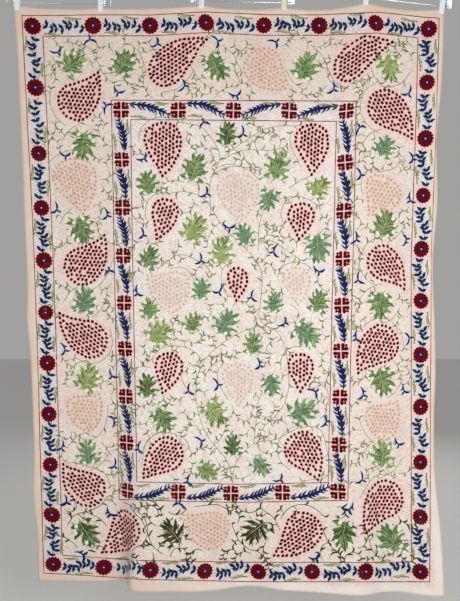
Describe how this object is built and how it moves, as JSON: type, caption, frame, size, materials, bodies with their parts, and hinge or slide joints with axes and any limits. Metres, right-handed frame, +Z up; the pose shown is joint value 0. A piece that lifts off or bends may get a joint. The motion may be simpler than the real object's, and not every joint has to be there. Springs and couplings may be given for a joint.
{
  "type": "embroidered bedspread on clip hangers",
  "caption": "Wide embroidered cotton bedspread hanging by its top edge from clip hangers, with soft vertical folds and a wavy hem.",
  "frame": {"origin": "saddle of the middle hook, where the rail carries it", "axes": "+Z up, +X to the right as seen from the embroidered front, +Y to the back"},
  "size_m": [1.6486, 0.1109, 2.3874],
  "materials": {
    "embroidered_cotton": "plain-woven cotton with coloured chain and satin stitch",
    "clear_plastic": "clear moulded plastic, slightly grey",
    "bright_steel": "bright plated wire",
    "white_plastic": "smooth bluish-white moulding"
  },
  "bodies": {
    "root": {"bedspread": "embroidered_cotton", "hanger_body_left": "clear_plastic", "hanger_body_middle": "clear_plastic", "hanger_body_right": "clear_plastic", "hanger_bar_left": "bright_steel", "hanger_bar_middle": "bright_steel", "hanger_bar_right": "bright_steel", "hanger_hook_left": "bright_steel", "hanger_hook_middle": "bright_steel", "hanger_hook_right": "bright_steel", "clip_1_front": "white_plastic", "clip_1_back": "white_plastic", "clip_2_front": "white_plastic", "clip_2_back": "white_plastic", "clip_3_front": "white_plastic", "clip_3_back": "white_plastic", "clip_4_front": "white_plastic", "clip_4_back": "white_plastic", "clip_5_front": "white_plastic", "clip_5_back": "white_plastic", "clip_6_front": "white_plastic", "clip_6_back": "white_plastic"}
  },
  "joints": []
}
